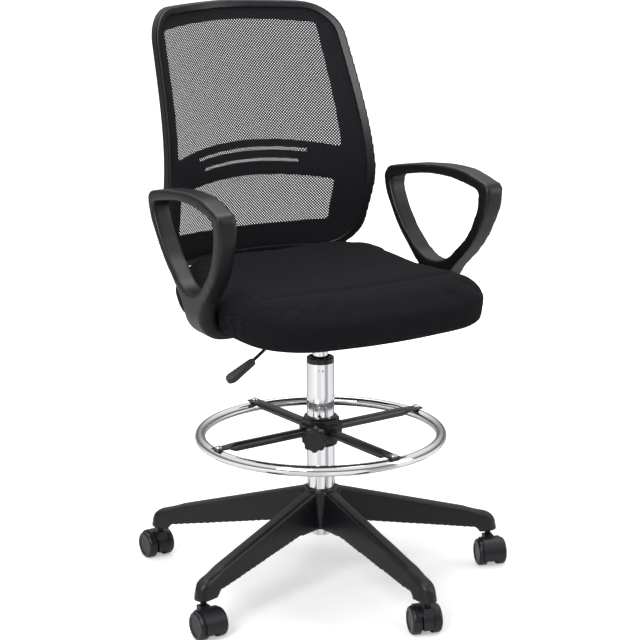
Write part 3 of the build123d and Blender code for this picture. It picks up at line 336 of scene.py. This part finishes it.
base_nylon = moulded(
    "base nylon", (0.004, 0.004, 0.006), roughness=0.36, grain=1500.0, depth=0.00006, edge=0.0012, lift=0.004
)
caster_nylon = moulded(
    "caster nylon", (0.006, 0.006, 0.009), roughness=0.34, grain=1800.0, depth=0.00004, edge=0.0010, lift=0.005
)
wheel_plastic = moulded(
    "wheel plastic", (0.006, 0.006, 0.009), roughness=0.28, grain=2200.0, depth=0.00002, edge=0.0010, lift=0.005
)
arm_plastic = moulded(
    "armrest plastic", (0.0045, 0.0045, 0.006), roughness=0.34, grain=1700.0, depth=0.00005, edge=0.0, lift=0.004
)
frame_plastic = moulded(
    "back frame plastic", (0.005, 0.005, 0.008), roughness=0.45, grain=1800.0, depth=0.00006, edge=0.0012, lift=0.004
)
rim_plastic = moulded(
    "back rim plastic", (0.005, 0.005, 0.007), roughness=0.30, grain=1800.0, depth=0.00004, edge=0.0, lift=0.004
)
clamp_plastic = moulded(
    "clamp plastic", (0.006, 0.006, 0.008), roughness=0.36, grain=1600.0, depth=0.00006, edge=0.0010, lift=0.005
)
bush_plastic = moulded(
    "bush plastic", (0.004, 0.004, 0.005), roughness=0.24, grain=2400.0, depth=0.00002, edge=0.0006, lift=0.004
)
grip_plastic = ribbed_grip("grip plastic")
chrome = plated("chrome plate", (0.78, 0.78, 0.80), roughness=0.035)
ground_steel = plated("ground steel", (0.50, 0.50, 0.52), roughness=0.22)
blackened_steel = plated("blackened steel", (0.020, 0.020, 0.022), roughness=0.34)
zinc = plated("bright zinc", (0.62, 0.62, 0.60), roughness=0.26)
black_coat = powder_coated("black powder coat", (0.006, 0.006, 0.008), roughness=0.34)
cloth = seat_cloth("seat cloth")
knit = open_knit("open knit")
ply = plywood("plywood")
foam = cut_foam("moulded foam")

finishes = {
    "base_star": base_nylon,
    "caster_hood": caster_nylon,
    "caster_wheel": wheel_plastic,
    "caster_axle": ground_steel,
    "caster_stems": blackened_steel,
    "caster_grip_rings": ground_steel,
    "column_tube": chrome,
    "column_guide_bush": bush_plastic,
    "column_retaining_clip": ground_steel,
    "thrust_bearing": ground_steel,
    "piston_rod": ground_steel,
    "lift_cylinder": chrome,
    "valve_button": bush_plastic,
    "footring_sleeve": bush_plastic,
    "footring_hub": clamp_plastic,
    "footring_spoke": black_coat,
    "footring_ring": chrome,
    "footring_screws": chrome,
    "footring_knob": clamp_plastic,
    "footring_knob_stud": zinc,
    "seat_plate": black_coat,
    "taper_socket": black_coat,
    "lift_lever": black_coat,
    "lever_paddle": grip_plastic,
    "lever_pivot_pin": ground_steel,
    "seat_board": ply,
    "seat_foam": foam,
    "seat_cover": cloth,
    "seat_tee_nuts": zinc,
    "seat_plate_bolts": zinc,
    "armrest": arm_plastic,
    "armrest_bolts": zinc,
    "back_bar": black_coat,
    "back_bar_bolts": zinc,
    "back_frame": frame_plastic,
    "back_frame_screws": zinc,
    "back_mesh": knit,
    "back_rim": rim_plastic,
}

for name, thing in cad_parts.items():
    family = max((key for key in finishes if name.startswith(key)), key=len)
    thing.data.materials.clear()
    thing.data.materials.append(finishes[family])

# ----------------------------------------------------------------------------
# Building helpers
# ----------------------------------------------------------------------------


def clamped(value):
    """A number held between 0 and 1."""
    return max(0.0, min(1.0, value))


def piece(name, points, faces, finish, body):
    """A new mesh piece that rides on a body."""
    mesh = bpy.data.meshes.new(name)
    mesh.from_pydata([tuple(p) for p in points], [], faces)
    mesh.materials.append(finish)
    mesh.validate()
    mesh.shade_smooth()
    thing = bpy.data.objects.new(name, mesh)
    scene.collection.objects.link(thing)
    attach(thing, body)
    return thing


def even_out(thing, voxel):
    """Remesh a piece into even cells of one size."""
    remesh = thing.modifiers.new("even", "REMESH")
    remesh.mode = "VOXEL"
    remesh.voxel_size = voxel
    apply_all(thing)


def apply_all(thing):
    """Turn a piece's modifiers into its own mesh."""
    settled = thing.evaluated_get(bpy.context.evaluated_depsgraph_get())
    mesh = bpy.data.meshes.new_from_object(settled)
    thing.modifiers.clear()
    thing.data = mesh
    thing.data.shade_smooth()


def softened(name, node, voxel, rounds, finish, body, chosen=None):
    """A copy of a moulded piece with its edges rounded: evenly, or by what chosen gives for each point."""
    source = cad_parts[node]
    thing = bpy.data.objects.new(name, source.data.copy())
    scene.collection.objects.link(thing)
    even_out(thing, voxel)
    relax = thing.modifiers.new("round", "SMOOTH")
    relax.factor = 0.5
    relax.iterations = rounds
    if chosen:
        group = thing.vertex_groups.new(name="rounded")
        for vertex in thing.data.vertices:
            group.add([vertex.index], chosen(vertex.co), "REPLACE")
        relax.vertex_group = "rounded"
    apply_all(thing)
    thing.vertex_groups.clear()
    thing.data.materials.clear()
    thing.data.materials.append(finish)
    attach(thing, body)
    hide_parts(node)


def tree_of(node):
    """A search tree of a CAD node's surface."""
    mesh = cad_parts[node].data
    return BVHTree.FromPolygons([v.co.copy() for v in mesh.vertices], [tuple(p.vertices) for p in mesh.polygons])


# ----------------------------------------------------------------------------
# Armrests, the back's rim and the base, with their edges rounded
# ----------------------------------------------------------------------------

for side in ("left", "right"):
    softened(f"armrest_{side}_soft", f"armrest_{side}", 0.0024, 22, arm_plastic, "seat")
softened("back_rim_soft", "back_rim", 0.0014, 14, rim_plastic, "seat")


nose_radius, nose_run = 0.285, 0.02
nose_height, nose_rise = 0.068, 0.008
rounding_elsewhere = 0.15


def leg_noses(place):
    """How far each point of the base is rounded: fully at the outer end of a leg, a little elsewhere."""
    out = clamped((math.hypot(place.x, place.y) - nose_radius) / nose_run)
    high = clamped((place.z - nose_height) / nose_rise)
    return rounding_elsewhere + (1 - rounding_elsewhere) * out * high


softened("base_star_soft", "base_star", 0.0022, 60, base_nylon, "base", leg_noses)

# ----------------------------------------------------------------------------
# Mesh back: the stretched sheet, taken from the front face of the CAD sheet
# ----------------------------------------------------------------------------

mesh_low, mesh_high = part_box("back_mesh")
mesh_tree = tree_of("back_mesh")
knit_step = 0.005
edge_margin = 0.001
sunk = 0.0004
# the cloth is longer than the straight line from the middle to the side, so the curve's depth counts for a little more
depth_gain = 1.08


def sheet_point(x, z):
    """Front face of the mesh at a place seen from the front, or None beside it."""
    hit = mesh_tree.ray_cast(Vector((x, -1.0, z)), Vector((0, 1, 0)))
    return hit[0]


def build_knit():
    """The sheet as one grid, its cloth map in metres along the cloth."""
    columns = int((mesh_high.x - mesh_low.x) / knit_step)
    rows = int((mesh_high.z - mesh_low.z) / knit_step)
    width = mesh_high.x - mesh_low.x - 2 * edge_margin
    height = mesh_high.z - mesh_low.z - 2 * edge_margin
    index, points, flat = {}, [], []
    run = 0.0
    before = None
    for r in range(rows + 1):
        z = mesh_low.z + edge_margin + r * height / rows
        middle = sheet_point(0.0, z)
        if middle is not None and before is not None:
            run += (middle - before).length
        before = middle or before
        for c in range(columns + 1):
            x = mesh_low.x + edge_margin + c * width / columns
            place = sheet_point(x, z)
            if place is not None:
                index[r, c] = len(points)
                points.append(place + Vector((0, sunk, 0)))
                depth = (middle.y - place.y) if middle is not None else 0.0
                flat.append((math.copysign(math.hypot(x, depth * depth_gain), x), run))
    faces = []
    for r in range(rows):
        for c in range(columns):
            corners = [(r, c), (r, c + 1), (r + 1, c + 1), (r + 1, c)]
            if all(k in index for k in corners):
                faces.append(tuple(index[k] for k in corners))
    thing = piece("back_knit", points, faces, knit, "seat")
    layer = thing.data.uv_layers.new(name="cloth")
    for loop in thing.data.loops:
        layer.data[loop.index].uv = flat[loop.vertex_index]
    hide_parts("back_mesh")


build_knit()

# ----------------------------------------------------------------------------
# Seat cushion
# ----------------------------------------------------------------------------

cover_low, cover_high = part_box("seat_cover")
cover_tree = tree_of("seat_cover")
cushion_bottom = cover_low.z
cushion_top = cover_high.z
cushion_middle = Vector((0, (cover_low.y + cover_high.y) / 2, (cover_low.z + cover_high.z) / 2))


held_height = 0.006
swelling_frames = 20
front_hang = 0.005
front_roll = 0.012
rear_raise = 0.014
crease_depth, crease_width = 0.0045, 0.011
crease_place, crease_bow, crease_half = -0.150, 0.45, 0.235


def outline_reach(angle):
    """How far the seat's side lies from its middle in one direction."""
    way = Vector((math.sin(angle), -math.cos(angle), 0))
    hit = cover_tree.ray_cast(cushion_middle + way, -way)
    return (hit[0] - cushion_middle).length


def swell(thing, voxel, pressure, most):
    """Let the cover swell over its foam by cloth simulation, with its underside held and no point moving too far."""
    even_out(thing, voxel)
    start = [vertex.co.copy() for vertex in thing.data.vertices]
    held = thing.vertex_groups.new(name="held")
    for n, place in enumerate(start):
        held.add([n], 1.0 if place.z < cushion_bottom + held_height else 0.0, "REPLACE")
    inflate = thing.modifiers.new("inflate", "CLOTH")
    inflate.settings.quality = 4
    inflate.settings.use_pressure = True
    inflate.settings.uniform_pressure_force = pressure
    inflate.settings.effector_weights.gravity = 0
    inflate.settings.vertex_group_mass = "held"
    for step in range(1, swelling_frames + 1):
        scene.frame_set(step)
    apply_all(thing)
    thing.vertex_groups.clear()
    for vertex, place in zip(thing.data.vertices, start):
        move = vertex.co - place
        if move.length > most:
            vertex.co = place + move * (most / move.length)
    scene.frame_set(1)


def build_cushion():
    """A crowned pad whose top rolls over at the front and whose sides are fullest at mid height."""
    around = 144
    thickness = cushion_top - cushion_bottom
    # each ring: how far it is drawn in at the sides and at the front, and its height as a share of the thickness
    rings = [
        (0.120, 0.120, 0.060),
        (0.062, 0.052, 0.060),
        (0.050, 0.042, 0.000),
        (0.042, 0.032, -0.012),
        (0.030, 0.020, -0.010),
        (0.014, 0.008, 0.040),
        (0.004, 0.002, 0.120),
        (-0.003, -0.002, 0.240),
        (-0.006, -0.004, 0.40),
        (-0.007, -0.004, 0.56),
        (-0.004, 0.000, 0.70),
        (0.004, 0.007, 0.83),
        (0.017, 0.020, 0.925),
        (0.033, 0.036, 0.980),
        (0.055, 0.058, 1.010),
        (0.082, 0.085, 1.024),
        (0.112, 0.115, 1.032),
        (0.145, 0.147, 1.038),
        (0.180, 0.180, 1.040),
    ]
    reaches = [outline_reach(2 * math.pi * n / around) for n in range(around)]
    points, faces = [], []
    for side_inset, front_inset, share in rings:
        for n in range(around):
            angle = 2 * math.pi * n / around
            ahead = max(0.0, math.cos(angle)) ** 2
            reach = max(reaches[n] - side_inset - (front_inset - side_inset) * ahead, 0.02)
            p = cushion_middle + Vector((math.sin(angle), -math.cos(angle), 0)) * reach
            p.z = cushion_bottom + share * thickness
            # the top rolls down at the front and rises at the rear, and the underside hangs a little lower in front
            low = clamped((0.45 - share) / 0.45)
            top = clamped((share - 0.55) / 0.45)
            front = clamped((-0.13 - p.y) / 0.11)
            behind = clamped((p.y + 0.05) / 0.20)
            p.z -= front_hang * low * ahead
            p.z += rear_raise * behind * behind * (3 - 2 * behind) * top
            p.z -= front_roll * front * front * top
            points.append(p)
    for r in range(len(rings) - 1):
        for n in range(around):
            m = (n + 1) % around
            faces.append((r * around + n, r * around + m, (r + 1) * around + m, (r + 1) * around + n))
    last = (len(rings) - 1) * around
    faces.append(tuple(range(last, last + around)))
    faces.append(tuple(reversed(range(around))))
    thing = piece("seat_cushion", points, faces, cloth, "seat")
    swell(thing, voxel=0.005, pressure=4.0, most=0.006)
    smooth = thing.modifiers.new("smooth", "SUBSURF")
    smooth.levels = 1
    smooth.render_levels = 1
    apply_all(thing)
    # the sewn crease behind the front roll
    for vertex in thing.data.vertices:
        p = vertex.co
        if p.z > cushion_bottom + 0.6 * thickness:
            line = crease_place + crease_bow * p.x * p.x
            fade = max(0.0, 1 - (abs(p.x) / crease_half) ** 6)
            p.z -= crease_depth * math.exp(-(((p.y - line) / crease_width) ** 2)) * fade
    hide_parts("seat_cover", "seat_foam")


build_cushion()

# ----------------------------------------------------------------------------
# Stage, light and camera
# ----------------------------------------------------------------------------


def white_paper():
    """Plain pale paper that ends in white further away.

    Painted reflections: glossy rays see three darker sectors painted on it, each round its own bearing, so that plated
    pieces show dark bands against white.
    """
    f = Finish("pale paper")
    where = f.place()
    across = f.along(where, X)
    along = f.along(where, Y)
    distance = (across**2 + along**2) ** 0.5
    seen = f.ray("Camera")
    mirrored = f.ray("Glossy")
    bearing = across.arctangent(along)
    narrow = (bearing - 2.81).cosine().between(0.955, 0.985)
    soft = (bearing + 2.35).cosine().between(0.930, 0.990)
    behind = (bearing - 0.56).cosine().between(0.45, 0.85)
    # painted reflection: the paper's colour is darkened in three sectors for glossy rays only, so plated pieces mirror
    # dark bands
    painted_reflection_dark = (narrow * 0.62 + soft * 0.30 + behind * 0.60) * mirrored * distance.between(0.20, 0.60)
    glow = distance.between(-0.9, 2.0) * seen
    return f.surface(
        Base_Color=f.tint(painted_reflection_dark, (0.90, 0.90, 0.90), (0.10, 0.10, 0.11)),
        Roughness=0.9,
        Emission_Color=f.tint(glow, (0.0, 0.0, 0.0), (1.0, 1.0, 1.0)),
        Emission_Strength=1.0,
    )


def build_floor(size):
    """A large flat sheet of paper."""
    half = size / 2
    mesh = bpy.data.meshes.new("floor")
    mesh.from_pydata([(-half, -half, 0), (half, -half, 0), (half, half, 0), (-half, half, 0)], [], [(0, 1, 2, 3)])
    mesh.materials.append(white_paper())
    thing = bpy.data.objects.new("floor", mesh)
    scene.collection.objects.link(thing)


build_floor(30.0)

world = bpy.data.worlds.new("studio")
scene.world = world
world.use_nodes = True
background = world.node_tree.nodes["Background"]
room = Nodes(world.node_tree)
# glossy rays see a bright ceiling over darker walls, and other rays that light the object see one level
wall_level, ceiling_level = 0.20, 1.0
light_level, white_level = 0.40, 1.0
height = room.along(room.place("Generated"), Z)
surround = room.node(
    "ShaderNodeMapRange",
    {},
    {"Value": height, "From Min": 0.20, "From Max": 0.55, "To Min": wall_level, "To Max": ceiling_level},
)
lit = room.ray("Glossy") * (surround - light_level) + light_level
seen = room.ray("Camera").larger(room.ray("Transmission"))
room.join(seen * (white_level - lit) + lit, background.inputs["Strength"])
background.inputs["Color"].default_value = (1, 1, 1, 1)


def soft_box(name, place, aim, size, power):
    """A large soft lamp."""
    lamp = bpy.data.lights.new(name, "AREA")
    lamp.shape = "RECTANGLE"
    lamp.size, lamp.size_y = size
    lamp.energy = power
    thing = bpy.data.objects.new(name, lamp)
    thing.location = place
    thing.rotation_euler = (Vector(aim) - Vector(place)).to_track_quat("-Z", "Y").to_euler()
    scene.collection.objects.link(thing)


chair_middle = (0, 0, 0.6)
soft_box("key", (-2.6, -1.6, 2.3), chair_middle, size=(1.6, 2.2), power=88)
soft_box("fill", (2.4, -2.4, 1.5), chair_middle, size=(1.2, 2.2), power=30)
soft_box("top", (0.2, 0.4, 3.2), chair_middle, size=(2.4, 2.4), power=55)

view_turn = math.radians(-32.1)
view_drop = math.radians(13.646)
view_roll = math.radians(-0.334)
eye = Vector((-1.7230, -2.7465, 1.2758))
level = math.cos(view_drop)
forward = Vector((-math.sin(view_turn) * level, math.cos(view_turn) * level, -math.sin(view_drop)))
lens = bpy.data.cameras.new("camera")
lens.sensor_width = 36.0
lens.lens = 105.56
camera = bpy.data.objects.new("camera", lens)
camera.location = eye
camera.rotation_mode = "QUATERNION"
camera.rotation_quaternion = forward.to_track_quat("-Z", "Y") @ Quaternion((0, 0, 1), view_roll)
scene.collection.objects.link(camera)
scene.camera = camera

scene.view_settings.view_transform = "Standard"
